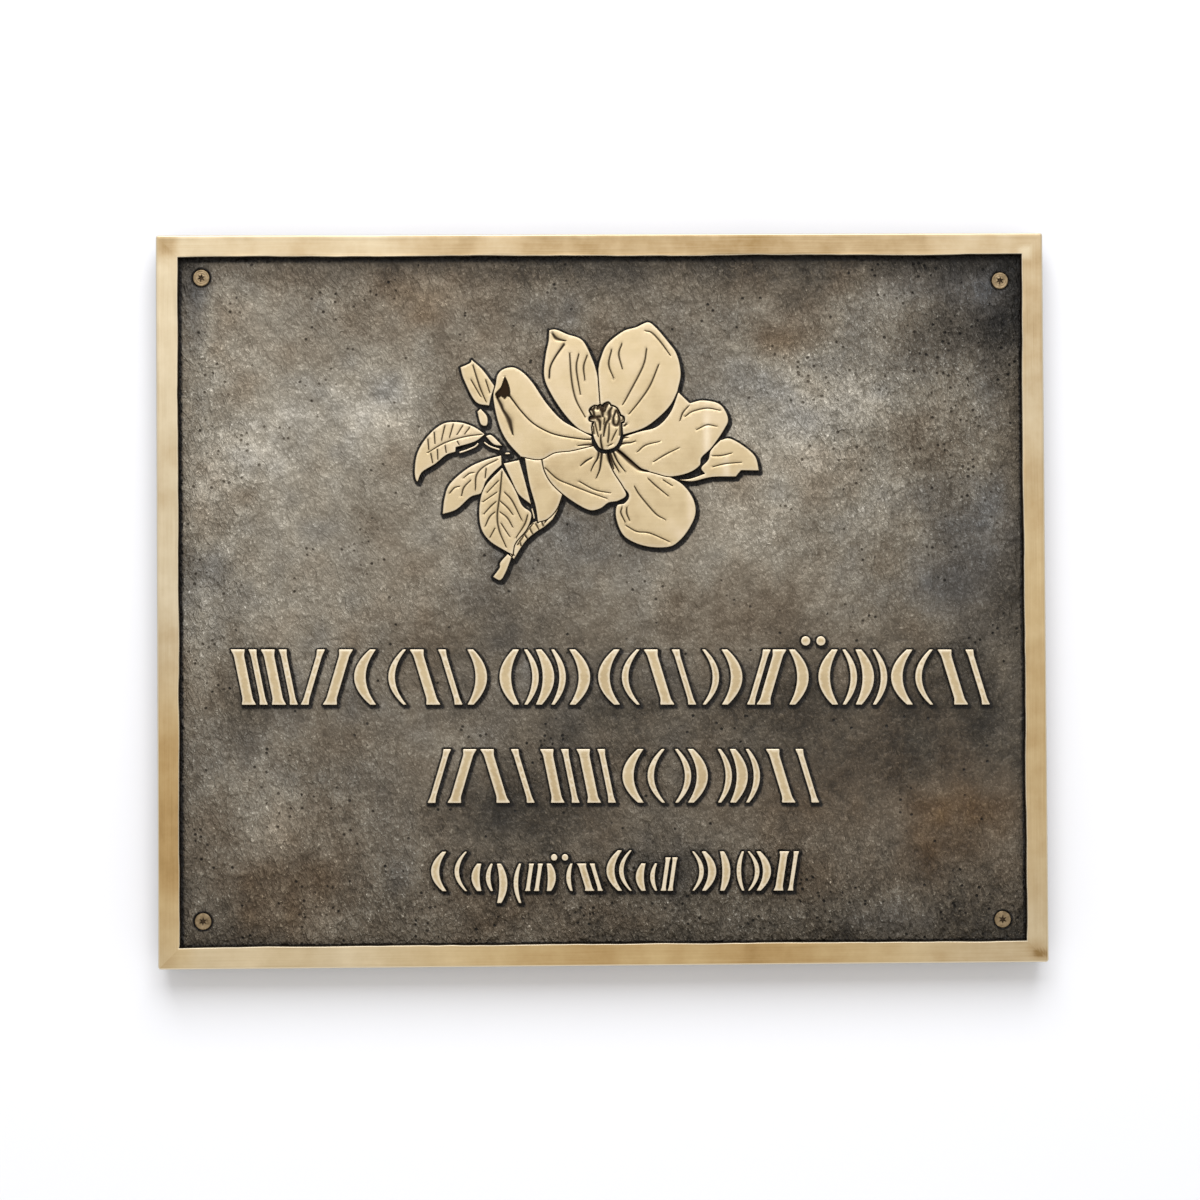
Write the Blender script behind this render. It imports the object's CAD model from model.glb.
"""Looks of a cast bronze address plaque, made to be fixed by four screws.

The plaque is one casting: a border sanded bright, a grained field under dark patina, a magnolia spray and
rows of raised strokes. Here it is five pieces of mesh that meet edge to edge, and the screws. It stands
upright with its front towards -Y and its back on y = 0. Lengths are in mm until a mesh is made.
"""

import math

import bpy
import numpy as np
from mathutils import Euler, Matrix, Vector, kdtree
from mathutils.geometry import delaunay_2d_cdt


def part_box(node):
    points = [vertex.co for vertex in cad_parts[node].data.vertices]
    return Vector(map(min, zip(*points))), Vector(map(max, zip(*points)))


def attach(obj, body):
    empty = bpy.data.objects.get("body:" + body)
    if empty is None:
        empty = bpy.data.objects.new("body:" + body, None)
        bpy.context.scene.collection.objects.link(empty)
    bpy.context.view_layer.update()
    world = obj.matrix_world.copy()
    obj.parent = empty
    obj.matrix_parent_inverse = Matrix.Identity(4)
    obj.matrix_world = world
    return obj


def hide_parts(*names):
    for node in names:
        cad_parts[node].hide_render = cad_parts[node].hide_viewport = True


MM = 0.001

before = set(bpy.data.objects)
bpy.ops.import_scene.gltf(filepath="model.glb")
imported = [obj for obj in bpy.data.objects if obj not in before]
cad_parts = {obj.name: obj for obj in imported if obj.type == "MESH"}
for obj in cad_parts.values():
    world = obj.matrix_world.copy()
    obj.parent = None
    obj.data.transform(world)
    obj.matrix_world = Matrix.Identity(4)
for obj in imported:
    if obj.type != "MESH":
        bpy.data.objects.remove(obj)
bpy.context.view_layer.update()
cad_low, cad_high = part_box("plaque")

# The casting
WIDTH = (cad_high.x - cad_low.x) / MM
HEIGHT = (cad_high.z - cad_low.z) / MM
FRONT = cad_low.y / MM
FIELD = -6.0
BORDER_WIDTH = 7.2
BORDER_DRAFT = 0.3
ARRIS = 0.5
INNER_ARRIS = 0.25
BACK_ARRIS = 0.3
CORNER_RADIUS = 0.9
TIGHT_CORNER = 0.15
CORNER_STEPS = 4
RAIL_STEP = 1.1
HAND_WAVE = 0.16

# How finely the meshes are drawn. The field's points stand closer near the relief: from and to this
# distance, and their spacing.
OUTLINE_STEP = 0.38
FIELD_STEPS = [(0.0, 2.0, 0.46), (2.0, 5.0, 0.85), (5.0, 999.0, 1.25)]
RELIEF_STEP = 0.85
GRAVER_STEP = 0.4

# The relief is one layout, as wide as the plaque
LAYOUT = WIDTH
SPRAY_WIDTH = LAYOUT * 0.3933
SPRAY_X = LAYOUT * -0.0167
SPRAY_Z = LAYOUT * 0.1673
PETAL_RISE = 1.5
PETAL_CROWN = 0.07
PETAL_GROOVE = 0.14
BEAD_RISE = 1.7
TENDRIL_RISE = 0.9
TENDRIL_WIDTH = SPRAY_WIDTH * 0.0055
VEIN_HALF = 0.24
VEIN_DEPTH = 0.35
CURL_DEPTH = 1.1

# The rows of strokes, with widths and dots as shares of the row's height, and the rows' slope
STROKE_RISE = 1.2
THICK_SHARE = 0.195
THIN_SHARE = 0.115
FLARE = 1.35
SWELL = 1.12
TIP_SHARE = 0.62
DOT_SHARE = 0.088
DOTS_APART_SHARE = 0.137
DOTS_UP_SHARE = 0.15
DOWNHILL = -0.0063

# The screws, and how far each is turned in degrees
HEAD_RADIUS = 2.8
SINK_RADIUS = 3.22
SHANK_RADIUS = 1.5
BORE_RADIUS = 1.8
THREAD_ROOT = 1.1
THREAD_PITCH = 1.35
RING_PITCH = 0.68
SCREW_STEP = 0.17
HEAD_CHAMFER = 0.15
HEAD_STEPS = 48
HOLE_STEPS = 40
THREAD_START = 6.0
SCREW_LENGTH = 25.0
POINT_LENGTH = 4.0
RECESS_RADIUS = 1.35
RECESS_WAIST = 0.42
RECESS_DEPTH = 0.8
RECESS_LOBES = 6
SCREW_TURNS = {
    "top_left": 20,
    "top_right": 83,
    "bottom_left": 146,
    "bottom_right": 209,
}

# The spray's outlines, in hundredths of its width from its middle. A third number marks a corner.
# The hollow that the stamens stand in, and their filaments
WELL = [
    (1.5, 5), (1.3, 6.7), (1.7, 8.2, 1), (0.6, 8.6), (0.6, 9.7), (1.4, 10.1, 1), (0.6, 11.5), (1.1, 12.5),
    (2.3, 13.2), (3.1, 13, 1), (4, 13.5), (4.5, 13.1, 1), (5.1, 13.8), (6.4, 14.1), (7, 13.2, 1),
    (7.8, 13), (8.8, 12.4), (9.5, 11.1), (9.8, 10.3, 1), (10.8, 9.8), (10.8, 8.4), (10.1, 7.8, 1),
    (10.2, 6.1), (10.3, 3.8), (9.7, 1.7), (8.3, 0.1), (5.7, -0.7), (3.2, -0.1), (1.8, 1.6), (1.4, 3.4),
]
FILAMENTS = [
    (1.7, 5), (1.5, 6.7), (2.1, 8.3, 1), (0.9, 8.7, 1), (0.9, 9.5, 1), (1.8, 9.9, 1), (0.9, 11.5, 1),
    (1.4, 12.3, 1), (2.3, 13), (3.1, 12.7, 1), (4, 13.2), (4.6, 12.7, 1), (5.3, 13.5), (6.3, 13.8),
    (6.9, 12.9, 1), (7.7, 12.7), (8.6, 12.2), (9.2, 11), (9.6, 10, 1), (10.5, 9.7), (10.6, 8.6),
    (9.8, 8.1, 1), (9.9, 6.1), (9.7, 4.1), (9, 2.2), (7.8, 0.9), (5.6, 0.3), (3.7, 0.8), (2.7, 2.2),
    (2.1, 3.5),
]
# The stamens' tips, which swell up a little from the filaments: middle and reach
BEADS = [
    (2.4, 8.9, 0.42), (2.3, 11.2, 0.5), (3.9, 11.4, 0.5), (5.6, 11.4, 0.65), (7.3, 10.2, 0.55),
    (8.5, 8.7, 0.42), (9.1, 10, 0.4), (6.1, 9.5, 0.42),
]

# Petals, leaves, stem and twig, front piece first
OUTLINES = {
    "upper_right_petal": [
        (3.3, 23.4, 1), (3.9, 26.2), (5.9, 30.6), (10.5, 34.3), (14.3, 35.5), (17.7, 36.9), (20, 35.4),
        (23.4, 31.4), (26, 27.6), (27.1, 22.1), (26.1, 16.9, 1), (24.2, 13.2), (21, 9.8), (16.4, 6.5),
        (9.9, 4.4, 1), (7, 11.5, 1), (3.9, 13.3, 1), (3.5, 19.3),
    ],
    "left_petal": [
        (-26.1, 19.2, 1), (-25.6, 21.8), (-24, 23.5), (-21.1, 24.1), (-18.3, 22.7), (-15.4, 19.6),
        (-11.6, 13.9), (-7.2, 9), (-2.6, 6.3), (2, 3.9, 1), (2.6, 1.7, 1), (-4.3, 0.1), (-9.2, -0.5),
        (-13.5, -2.4), (-19, -1.6, 1), (-23, 3), (-25.4, 8.2), (-26.8, 15.4),
    ],
    "lower_petal": [
        (3.2, 1.2, 1), (5.9, -0.3, 1), (7.2, -5.4), (10, -10), (11.2, -12.8), (8.8, -14.4), (6.1, -14.9),
        (3.6, -16.6), (0.2, -16.9), (-5.3, -13.7), (-9.8, -9.7), (-12.1, -5.9), (-13, -2, 1), (-9.2, 0.1),
        (-4, 0.8), (1.2, 1.8),
    ],
    "right_petal": [
        (10.1, 3.9, 1), (15.2, 5.5), (20.1, 6.9), (23.9, 10.9), (26.3, 16.8, 1), (29.6, 13.6, 1),
        (33.4, 14.4), (38.3, 13.2), (40.6, 9.2), (39.4, 5.9), (35.9, 0.9), (32.9, -2.1), (32.3, -4.4),
        (29, -6.5), (23.8, -7.5), (19.5, -6.5), (15.5, -5.3, 1), (11.7, -2.1), (8.4, 0.7, 1), (9.2, 2.3),
    ],
    "bottom_petal": [
        (5.8, -0.2, 1), (8.4, 0.7, 1), (10.2, -0.5), (13.5, -3), (17.4, -5.6), (22, -6.9), (27.1, -9.5),
        (30.3, -13.6), (31.1, -17.9), (29.4, -22.1), (26.5, -25.8), (23.1, -27.7), (16.5, -27.4),
        (10.7, -24.7), (8.3, -19.8), (8.4, -15.8), (10.7, -15), (11.8, -12.4), (8, -8), (6.4, -4),
    ],
    "upper_left_petal": [
        (-10.7, 34.7, 1), (-8.7, 34.9), (-5.3, 33.5), (-1, 31.7), (1.9, 26), (3, 22.5, 1), (3.6, 18.8),
        (3.9, 13.4, 1), (2, 11.9), (2.4, 4.4, 1), (-2, 6.1), (-6.3, 10.4), (-10.3, 16.5), (-12.2, 21.4),
        (-11.8, 27.2), (-10.9, 31.5),
    ],
    "lower_left_petal": [
        (-18, -1.3, 1), (-12.6, -1.4, 1), (-11.3, -6), (-9, -9.9), (-7, -12.3, 1), (-8.7, -16.6),
        (-11.3, -19.4), (-14.2, -20.4, 1), (-14.9, -15.7), (-16.6, -9.4),
    ],
    "sepal": [
        (-24, -3.5, 1), (-19.4, -2.5, 1), (-17.7, -8.6), (-16, -15.4, 1), (-19.7, -12.3), (-21.9, -7.9),
    ],
    "left_leaf": [
        (-29.1, 4.9, 1), (-32.4, 7.1), (-36.6, 8.4), (-41.2, 8), (-45.5, 4.6), (-48.6, -0.4), (-49.4, -6),
        (-48.6, -8.6), (-47.2, -5.9), (-43.4, -3.5), (-40.3, -1), (-37.6, -0.1, 1), (-37.5, 1.2, 1),
        (-32.1, 2.8),
    ],
    "lower_leaf": [
        (-24.3, -4.6, 1), (-29.2, -9.9), (-30.9, -15.3), (-30.6, -21.6), (-28, -25.7), (-23, -28.9, 1),
        (-21.4, -29.7, 1), (-20.6, -26.3), (-17.3, -22.3), (-16, -18), (-18.6, -15.5), (-20.7, -10.8),
    ],
    "middle_leaf": [
        (-24.5, -1.1, 1), (-29.3, -2.5), (-34.2, -4.8), (-39.3, -9.2), (-40.9, -13.3), (-41.5, -18, 1),
        (-37.4, -16.6), (-33.4, -13.1), (-30.3, -11.9), (-29, -8.7), (-26.7, -6), (-24.4, -3.9, 1),
    ],
    "twig": [
        (-22.9, -29.4, 1), (-25.1, -31.9), (-25.3, -33.4), (-27.2, -36, 1), (-25, -36.9), (-23.4, -34.6),
        (-21.7, -30.3, 1),
    ],
    "stem": [
        (-7.1, -13.5, 1), (-8.9, -14.1), (-10.3, -15.8), (-11.3, -18, 1), (-13.2, -19.5),
        (-15.6, -20.4, 1), (-17.4, -22.2), (-19.7, -25.1), (-22.3, -29.8, 1), (-21.1, -31, 1),
        (-18.1, -26.3), (-15.5, -23.8), (-12.2, -21.6), (-9.9, -19.6, 1), (-8.4, -16.8),
    ],
    "bud": [
        (-36.2, 24.1, 1), (-33.4, 25.4), (-33, 26.4, 1), (-29.7, 23.4), (-26.3, 18.7, 1), (-27.3, 15.7),
        (-27.9, 13, 1), (-31.9, 14.3), (-35.2, 20.6),
    ],
    "bud_foot": [
        (-31.4, 11.4, 1), (-30.4, 12.3, 1), (-28.5, 10), (-28.6, 7.5), (-30.4, 7.8),
    ],
    "tendril_foot": [
        (-29.1, 4.4, 1), (-27.2, 4.6), (-24.1, 1.5, 1), (-26.7, 2),
    ],
    "right_leaf": [
        (38.2, 2.9, 1), (41, 3.4), (44.9, 1.3), (48.3, -1.8), (49.4, -5.9, 1), (44.2, -5.8, 1),
        (42.7, -7.6, 1), (35.8, -7.7), (30.1, -8.9), (25.6, -8.4, 1), (29.5, -8.1), (33.7, -6.7, 1),
        (32.7, -5), (34.7, -2.7), (35.5, 0),
    ],
}

# The hollow under the left petal's curl, and thin raised lines: a fleck by the stem, leaf edges and a shoot
CURL = [
    (-23.4, 21.4, 1), (-23.9, 19.8), (-24.5, 18.3), (-25.4, 17.3), (-26.1, 16.3), (-25.5, 15.3, 1),
    (-24.5, 15.9, 1), (-23.4, 15.1, 1), (-22.9, 15.9, 1), (-22, 15.7, 1), (-22.1, 17.8), (-22.7, 19.8),
]
TENDRILS = [
    [(-15.9, -16.4), (-15.5, -17.8), (-15.2, -19.4)],
    [(-31.1, 2.4), (-32.1, 1.4), (-34.7, 0.3), (-36.6, -0.3)],
    [(-29.5, 2.7), (-27.8, 1.5), (-25.0, 0.5)],
    [(-23.5, -0.6), (-22.8, -0.6), (-22.0, -0.6)],
]

# Lines cut into the tops of the outlines above. A third number says how many times wider than a plain line
# the graver cut there.
VEINS = {
    "left_leaf": [
        [(-30, 4.9), (-35, 4.2), (-40.7, 2.5), (-45.6, -0.3)], [(-38.3, 7.6), (-39.3, 4.2)],
        [(-40.7, 7.2), (-41.6, 3.4)], [(-43.7, 5.5), (-43.5, 2.3)], [(-45.5, 3.4), (-45.3, 0.6)],
        [(-35.6, 7.3), (-37.2, 4.8)], [(-33.6, 6.8), (-35, 5)], [(-40.6, 1.7), (-40.3, -0.3)],
        [(-42.8, 0.6), (-42.7, -2.2)], [(-37.1, 2.9), (-36.6, 1.9)], [(-44.7, -0.6), (-44.2, -3.2)],
    ],
    "middle_leaf": [
        [(-25.7, -2.4), (-29.6, -4.4), (-31.7, -6.9), (-32, -10.8)],
        [(-32.6, -6.1), (-33.7, -6.3), (-35.2, -7.4)], [(-33.4, -8.3), (-35.3, -10.3), (-36, -12.7)],
        [(-39.3, -11.8), (-38, -10.4), (-36.5, -10)], [(-28.9, -5), (-29.2, -7.6)],
    ],
    "lower_leaf": [
        [(-24.4, -6), (-25, -12.2), (-25.8, -18.5), (-25.2, -22.8), (-23.3, -27.4)],
        [(-25.5, -8.5), (-28.6, -11.7)], [(-26, -11.8), (-29.8, -14.4)],
        [(-26.2, -14.5), (-27.6, -15.7), (-29.6, -17.9)], [(-26.5, -17.4), (-28, -18.8), (-29.2, -21.3)],
        [(-26.6, -22.2), (-27.9, -24.6)], [(-24.8, -14.4), (-22.9, -16.1), (-21.3, -18.2)],
        [(-25, -17.4), (-22.9, -19.1), (-21.4, -21.7)], [(-24.6, -20.8), (-22.3, -24.4)],
        [(-23.6, -11.8), (-21.5, -14.2), (-18.9, -19.5)], [(-17.1, -18.3), (-18, -21), (-20.4, -24.7)],
    ],
    "upper_left_petal": [
        [(-9.6, 33.6, 1.4), (-8.7, 32.4, 2.4), (-7.4, 31.9, 1.6), (-5.9, 31.6, 0.8)],
        [(-6.4, 30.6, 1.6), (-9, 26.9, 1.1), (-10.4, 24), (-10.7, 21.1)],
        [(-4.8, 27.9), (-4.3, 20.5), (-3.1, 14.8), (-0.5, 9.8)],
        [(-2.2, 27.8), (-2.9, 23.7), (-1.8, 16.2)], [(0.2, 27.4), (-0.8, 24.2), (-0.5, 20.5)],
    ],
    "upper_right_petal": [
        [(17, 34.4), (18.9, 33.8), (21.4, 31.1), (24.1, 27.3)],
        [(17.3, 29.2), (16.2, 24.2), (11.8, 15.8), (10.3, 13.2)],
        [(20.7, 24.6), (18.2, 18.7), (15.3, 14.4), (12.1, 10.5)], [(10.7, 7.1, 1.3), (11.3, 7.6, 1.3)],
        [(7.2, 28.9), (6.4, 24.8), (7.7, 21)], [(10.2, 30.7), (9.3, 27.7), (10.3, 23.5)],
    ],
    "left_petal": [
        [(-22, 15.8, 1.2), (-20.6, 13.9), (-18.7, 11.4, 0.9), (-15.5, 8.1, 0.9), (-11.5, 5.7),
         (-7.7, 4.4), (-1.4, 3.4, 0.9), (0.6, 3.3, 1.1), (2.1, 3.1, 1.6)],
        [(-25.6, 15.4, 1.6), (-24.5, 13.2, 2.2), (-24, 11.9, 1.8), (-22.9, 10.1, 2.6), (-22.2, 8.7, 3.3),
         (-21.7, 6.8, 2.3), (-21.2, 4.8, 0.8)],
        [(2.2, 1.8, 2.6), (0.9, 1.8, 1.6), (-0.9, 1.7, 1.2), (-2.5, 1.5, 0.7)],
        [(1.9, 1.1, 1.2), (0.1, 0.6, 0.9), (-1.4, 0.3, 0.5)],
    ],
    "lower_petal": [
        [(-12, -4.8), (-8.5, -8), (-4.7, -9.7), (1, -12), (5.4, -13.6)],
        [(-2, -8.9), (2.3, -11.2), (6.6, -12.1)], [(1.3, -2, 1), (-0.3, -2.9, 1.3), (-1.8, -4.2, 0.6)],
        [(3.6, 0.3, 2), (3, -2.2, 1.2), (2, -3.8, 0.8), (1.1, -5.7, 0.5)],
        [(4.3, 0.2, 2), (4, -2.8, 1.3), (3.6, -5.4, 1), (2.7, -7.6, 0.6)],
        [(6, -0.6, 2.8), (6.4, -2.6, 2.6), (7.2, -4.8, 1.3)],
    ],
    "right_petal": [
        [(29.1, 12.6), (27.6, 10.9), (26.7, 8.6)],
        [(28.3, 9.8), (30.4, 11.2), (34.5, 12.1), (38.1, 11.5)], [(31.6, 6), (34.5, 7.3), (37.2, 6.9)],
        [(14.5, -0.3), (16.9, 1.6), (21, 2.6)], [(19.1, -3.2), (22.4, -1.2), (26.3, 0.7)],
        [(9.4, 1.9, 2.2), (11.2, 2.2, 1.3), (12.5, 2.3, 1), (13.8, 2.7, 0.6)],
        [(9.8, 3.5, 2), (10.9, 3.8, 1.2), (11.7, 3.7, 0.5)],
        [(8.8, 0.4, 1.6), (10.4, -0.9, 1.8), (12.4, -2.7, 1.6), (15.2, -5.1, 1.4), (17.4, -5.8, 0.6)],
    ],
    "bottom_petal": [
        [(9.9, -16.4), (9.6, -17.8), (10.8, -20.4)], [(11.3, -16.4), (11.3, -18), (12.1, -20)],
        [(11.3, -21.6), (14.2, -23.2), (17.9, -23.7), (23.4, -26.1)],
        [(13.6, -10.3), (15.1, -12.8), (19.5, -18), (22.3, -19.8)],
        [(17.6, -8.1), (19.6, -10), (23.2, -13)], [(21.9, -8.5), (24.4, -10.1)],
        [(6.6, -0.6, 1.8), (7.5, -3, 1.2), (8.3, -4.5, 1), (9.1, -5.9, 0.6)],
        [(7.5, -0.3, 1.6), (8.6, -2.7, 1.1), (9.7, -4.4, 0.9), (10.8, -5.8, 0.6)],
        [(8.6, 0.1, 2.2), (10.2, -1.1, 2.8), (12.2, -3, 3), (15, -5.2, 2.6), (17.4, -6, 1)],
        [(6.2, -0.6, 2), (6.8, -2.6, 2.2), (7.6, -5.2, 0.8)],
    ],
    "stem": [
        [(-9.9, -16.5, 1), (-9, -17.1, 0.8)], [(-11.6, -18.8, 1.2), (-10.5, -18, 0.8)],
        [(-12.2, -20.5, 0.8), (-11, -18.8, 1.4)], [(-14.8, -20.8, 1.2), (-13.9, -22.5, 0.6)],
        [(-16.5, -22.2, 1.2), (-15.7, -23.7, 0.8)], [(-18.2, -23.8, 1.4), (-17.1, -25.1, 0.8)],
        [(-19.5, -25.7, 1), (-19, -27.1, 1)], [(-13.3, -19.8, 0.8), (-12.6, -21.4, 1.2)],
        [(-15.5, -20.7, 0.6), (-17.7, -23.4, 1.2), (-20, -26.8, 1)],
    ],
    "bud": [
        [(-32.5, 24.6), (-30.6, 18.5), (-28.9, 14.4)], [(-33, 20.4), (-30.4, 15.8)],
        [(-28.8, 20.2), (-27.8, 17)],
    ],
    "right_leaf": [
        [(36.2, -1.6), (38.7, -1.5), (41.6, -0.8)], [(36.2, -4.7), (39.6, -3.9), (44.2, -3.5)],
    ],
    "filaments": [
        [(1, 11.8, 1.4), (2, 12, 2), (2.3, 12.7, 1.6)],
        [(3, 12.1, 1.2), (3.2, 12.7, 1.6), (4.3, 12.7, 1.6), (4, 11.7, 2)],
        [(4.5, 11.4, 2.2), (4.9, 12.6, 1.8), (5.7, 13.4, 1.4), (6.3, 13.4, 1.2)],
        [(7.2, 12.4, 1.4), (6.7, 11.6, 2), (6.5, 11, 2.8), (6.5, 10, 2.8), (6.4, 9.1, 1.8)],
        [(0.9, 9.2, 2.4), (2.1, 9.5, 3), (3.8, 9.8, 2.6)],
        [(2.1, 9.6, 2), (2, 11, 1.8), (1.3, 11.9, 1.6)],
        [(3, 9.4, 2), (3.7, 8.4, 2.2), (3.8, 7.2, 1.4), (3.8, 6.1, 0.8)],
        [(3.1, 12, 1.4), (3.7, 12.4, 1.8), (4.3, 11.8, 2), (4.5, 10.8, 2.2), (4.6, 9.8, 1.2)],
        [(6, 13.3, 1.4), (5.5, 12.6, 2), (5.2, 11.7, 2), (4.6, 11.1, 2)],
        [(6.4, 9, 1.6), (5.5, 7.8, 2), (5.1, 6.2, 1.4), (4.8, 4.3, 0.8)],
        [(7.6, 9.5, 1.2), (8.1, 10.7, 1.4), (8.5, 11.6, 1.6), (9.1, 10.2, 1.5), (9.3, 8.8, 1.5),
         (8.6, 7.3, 2.2), (7.7, 7.8, 2.2), (7.6, 9.5, 1.4)],
        [(10.4, 9.8, 1.2), (10.4, 8.8, 1.2), (9.5, 8.3, 1.2), (9.6, 6.6, 1.2), (9.5, 4.4, 1)],
        [(8.5, 5.8, 0.7), (7.8, 4.4, 1), (7.2, 3.1, 0.7)],
        [(6.4, 7.8, 0.6), (6.3, 4.7, 1.1), (6, 2.5, 1)], [(4, 4.4, 0.8), (4, 2.7, 1.2), (4.4, 0.4, 1.6)],
        [(2.3, 8.2, 1), (2.9, 5.6, 0.8), (3.3, 4.1, 0.6)], [(1.9, 7, 1), (2, 4.9, 1.2)],
        [(5.1, 9.3, 1), (4.9, 7.6, 1)], [(7.1, 1.9, 0.9), (6.2, 1.5, 0.7)],
    ],
}

# A figure is a group of strokes that stands for a character without being one. Each stroke has its place
# from the figure's left edge, 0, to its right edge, 1, its weight, 1 thick or 0 thin, and its lean and its
# bow as shares of its height.
FIGURES = {
    "four_back": [(0, 1, -0.20, 0), (0.33, 0, -0.20, 0), (0.67, 1, -0.20, 0), (1, 0, -0.20, 0)],
    "two_lean": [(0, 0, 0.30, 0), (1, 1, 0.30, 0)],
    "two_bow": [(0, 1, 0, -0.24), (1, 0, 0, -0.24)],
    "two_back": [(0, 1, -0.30, 0), (1, 0, -0.30, 0)],
    "apart": [(0, 1, 0, 0.20), (1, 1, 0, -0.20)],
    "apart_slim": [(0, 1, 0, 0.11), (1, 0, 0, -0.11)],
    "three_bow": [(0, 0, 0, 0.18), (0.48, 1, 0, 0.18), (1, 0, 0, 0.18)],
    "one_bow": [(0.5, 1, 0, 0.22)],
    "two_bow_right": [(0, 0, 0, 0.22), (1, 1, 0, 0.22)],
    "slim_bow": [(0, 1, 0, -0.14), (1, 0, 0, -0.14)],
    "slim_lean": [(0, 0, 0.15, 0), (1, 0, 0.15, 0)],
    "lean": [(0, 1, 0.16, 0), (1, 0, 0.16, 0)],
}

# Rows from the top: foot and head heights from the plaque's middle, then each figure's left edge and width,
# all as shares of the layout's width, and then its kind, its own foot and head as shares of the row's height,
# and whether two dots stand over it.
ROWS = [
    (-0.1190, -0.0563, [
        (-0.4187, 0.0760, "four_back", 0, 1, 0), (-0.3405, 0.0600, "two_lean", 0, 1, 0),
        (-0.2803, 0.0597, "two_bow", 0, 1, 0), (-0.2180, 0.0603, "two_back", 0, 1, 0),
        (-0.1535, 0.0597, "apart", 0, 1, 0), (-0.0897, 0.0480, "three_bow", 0, 1, 0),
        (-0.0400, 0.0270, "one_bow", 0, 1, 0), (-0.0060, 0.0480, "two_bow", 0, 1, 0),
        (0.0453, 0.0600, "two_back", 0, 1, 0), (0.1110, 0.0463, "two_bow_right", 0, 1, 0),
        (0.1613, 0.0463, "two_lean", 0, 1, 0), (0.2090, 0.0567, "apart", 0, 1, 1),
        (0.2693, 0.0517, "three_bow", 0, 1, 0), (0.3247, 0.0487, "two_bow", 0, 1, 0),
        (0.3773, 0.0600, "two_back", 0, 1, 0),
    ]),
    (-0.2293, -0.1684, [
        (-0.1987, 0.0565, "two_lean", 0, 1, 0), (-0.1393, 0.0620, "two_back", 0, 1, 0),
        (-0.0720, 0.0860, "four_back", 0, 1, 0), (0.0207, 0.0490, "two_bow", 0, 1, 0),
        (0.0793, 0.0383, "two_bow_right", 0, 1, 0), (0.1277, 0.0487, "three_bow", 0, 1, 0),
        (0.1823, 0.0610, "two_back", 0, 1, 0),
    ]),
    (-0.3283, -0.2836, [
        (-0.1950, 0.0415, "two_bow", 0, 1, 0), (-0.1497, 0.0250, "slim_bow", 0, 0.70, 0),
        (-0.1213, 0.0283, "apart_slim", -0.30, 0.70, 0), (-0.0900, 0.0217, "slim_lean", 0, 0.70, 0),
        (-0.0653, 0.0300, "apart_slim", 0, 0.70, 1), (-0.0317, 0.0307, "two_back", 0, 0.70, 0),
        (0.0020, 0.0297, "two_bow", 0, 1.03, 0), (0.0350, 0.0250, "slim_bow", 0, 0.70, 0),
        (0.0627, 0.0205, "slim_lean", 0, 0.85, 0), (0.0980, 0.0283, "two_bow_right", 0, 1, 0),
        (0.1297, 0.0283, "apart_slim", 0, 1, 0), (0.1607, 0.0273, "two_bow_right", 0, 1, 0),
        (0.1900, 0.0300, "lean", 0, 1, 0),
    ]),
]


def smooth_line(points, closed, spacing):
    """A smooth line through points, broken at the corners, with a point about every spacing."""
    flat = [np.array(p[:2], float) for p in points]
    corner = [len(p) > 2 for p in points]
    count = len(flat)
    line = []
    for i in range(count if closed else count - 1):
        a = flat[i]
        b = flat[(i + 1) % count]
        before = flat[i - 1] if (closed or i > 0) and not corner[i] else a * 2 - b
        last = i + 1 == count - 1 and not closed
        after = b * 2 - a if corner[(i + 1) % count] or last else flat[(i + 2) % count]
        steps = max(1, round(math.dist(a, b) / spacing))
        for t in np.arange(steps) / steps:
            line.append(0.5 * (2 * a + (b - before) * t + (2 * before - 5 * a + 4 * b - after) * t * t
                               + (3 * a - before - 3 * b + after) * t ** 3))
    if not closed:
        line.append(flat[-1])
    return np.array(line)


def even(loop, spacing):
    """A closed outline with straight sides split so that its points stand about spacing apart."""
    out = []
    for a, b in zip(loop, np.roll(loop, -1, axis=0)):
        steps = max(1, round(math.dist(a, b) / spacing))
        for t in np.arange(steps) / steps:
            out.append(a + (b - a) * t)
    return np.array(out)


def area(loop):
    after = np.roll(loop, -1, axis=0)
    return 0.5 * float(np.sum(loop[:, 0] * after[:, 1] - loop[:, 1] * after[:, 0]))


def anticlockwise(loop):
    return loop[::-1] if area(loop) < 0 else loop


def moved_out(loop, by):
    """The outline moved outwards, or inwards when by is negative."""
    u = loop - np.roll(loop, 1, axis=0)
    v = np.roll(loop, -1, axis=0) - loop
    u /= np.linalg.norm(u, axis=1)[:, None]
    v /= np.linalg.norm(v, axis=1)[:, None]
    side = np.stack([u[:, 1] + v[:, 1], -u[:, 0] - v[:, 0]], 1)
    side /= np.maximum(np.linalg.norm(side, axis=1), 1e-6)[:, None]
    along = side[:, 0] * u[:, 1] - side[:, 1] * u[:, 0]
    return loop + side * (by * np.minimum(1.6, 1 / np.maximum(0.3, along)))[:, None]


def inside(points, loop):
    """Which points the outline goes round."""
    x, z = points[:, 0], points[:, 1]
    odd = np.zeros(len(points), bool)
    for a, b in zip(loop, np.roll(loop, -1, axis=0)):
        if a[1] != b[1]:
            spans = (a[1] > z) != (b[1] > z)
            odd ^= spans & (x < a[0] + (z - a[1]) * (b[0] - a[0]) / (b[1] - a[1]))
    return odd


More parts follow.
